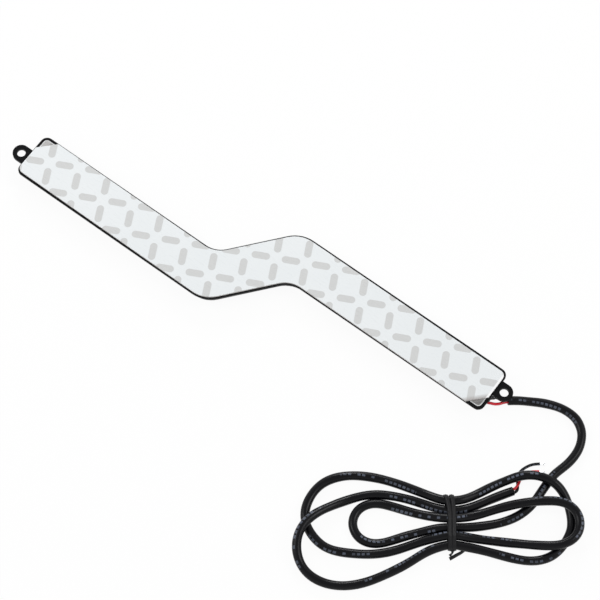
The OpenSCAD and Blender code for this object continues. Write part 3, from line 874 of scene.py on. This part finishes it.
gels, tinned = [], []
for node_name in sorted(NODES):
    if node_name.startswith("led_") and node_name != "led_board":
        profile, length, width = DIODE_END, DIODE_L, DIODE_W
    elif node_name.startswith("resistor_"):
        profile, length, width = CHIP_END, RESISTOR_L, RESISTOR_W
    else:
        continue
    middle, heading = place_of(node_name, length)
    if profile is DIODE_END:
        gels.append(gel_disc(middle))
    for side in (-1, 1):
        points, faces = end_cap(profile, length / 2, width / 2, side)
        tinned.append((turned_flat(points, heading, (middle[0], middle[1], 0.0)), faces))
gel_points, gel_faces = joined(gels)
piece_of("phosphor_fill", gel_points * MM, gel_faces, "diode_white", material=PHOSPHOR)
tin_points, tin_faces = joined(tinned)
piece_of("tinned_ends", tin_points * MM, tin_faces, "solder")

# Studio: a white floor that keeps a soft shadow, white surroundings and three soft lamps


def seen_directly(tree):
    """1 for rays from the camera, and for those that a mirror or glass sends on."""
    path = add(tree, "LightPath").outputs
    direct = sums(tree, "MAXIMUM", path["Is Camera Ray"], path["Is Glossy Ray"])
    return sums(tree, "MAXIMUM", direct, path["Is Transmission Ray"])


def mixed(tree, factor, first, second):
    """A Mix Shader node between the shaders of two nodes."""
    return add(tree, "MixShader", {0: factor, 1: first.outputs[0], 2: second.outputs[0]})


world = bpy.data.worlds.new("studio")
bpy.context.scene.world = world
world.use_nodes = True
sky = world.node_tree
sky.nodes.clear()
fill_light = add(sky, "Background", {"Color": (1, 1, 1, 1), "Strength": 0.5})
toward = add(sky, "TexCoord").outputs["Generated"]
height = add(sky, "SeparateXYZ", {"Vector": toward}).outputs["Z"]
ceiling = mapped(sky, height, (0.55, 0.9), (1.0, 0.6))
camera_ray = add(sky, "LightPath").outputs["Is Camera Ray"]
wall_level = sums(sky, "MAXIMUM", camera_ray, ceiling)
white_wall = add(sky, "Background", {"Color": (1, 1, 1, 1), "Strength": wall_level})
sky_mix = mixed(sky, seen_directly(sky), fill_light, white_wall)
add(sky, "OutputWorld", {"Surface": sky_mix.outputs[0]})

FLOOR_HALF, FLOOR_DROP, FLOOR_GLOW = 3.0, 0.02 * MM, 0.94
floor_mesh = bpy.data.meshes.new("floor")
corners = [(-1, -1), (1, -1), (1, 1), (-1, 1)]
floor_points = [(x * FLOOR_HALF, y * FLOOR_HALF, 0) for x, y in corners]
floor_mesh.from_pydata(floor_points, [], [(0, 1, 2, 3)])
floor = bpy.data.objects.new("floor", floor_mesh)
bpy.context.scene.collection.objects.link(floor)
floor.location.z = -FLOOR_DROP
floor_material = bpy.data.materials.new("floor_white")
floor_material.use_nodes = True
tree = floor_material.node_tree
tree.nodes.clear()
lit = add(tree, "BsdfDiffuse", {"Color": (0.93, 0.93, 0.93, 1)})
glow = add(tree, "Emission", {"Color": (1, 1, 1, 1), "Strength": 1.0})
share = sums(tree, "MULTIPLY", seen_directly(tree), FLOOR_GLOW)
floor_mix = mixed(tree, share, lit, glow)
# From below the floor is clear, so that the lens side can be looked at
behind = add(tree, "NewGeometry").outputs["Backfacing"]
floor_side = mixed(tree, behind, floor_mix, add(tree, "BsdfTransparent"))
add(tree, "OutputMaterial", {"Surface": floor_side.outputs[0]})
floor_mesh.materials.append(floor_material)

LAMPS_TO = Vector((0.03, -0.02, 0))


def soft_lamp(name, at, size, power):
    """Square area lamp turned to the part."""
    data = bpy.data.lights.new(name, "AREA")
    data.energy, data.size = power, size
    lamp = bpy.data.objects.new(name, data)
    bpy.context.scene.collection.objects.link(lamp)
    lamp.location = at
    lamp.rotation_mode = "QUATERNION"
    lamp.rotation_quaternion = (LAMPS_TO - lamp.location).to_track_quat("-Z", "Y")


soft_lamp("left_box", (-0.72, -0.50, 0.85), 0.6, 4.2)
soft_lamp("right_box", (0.78, 0.50, 0.95), 0.6, 4.2)
soft_lamp("back_box", (-0.55, 0.82, 0.62), 0.3, 4.4)

bpy.context.scene.view_settings.view_transform = "Standard"
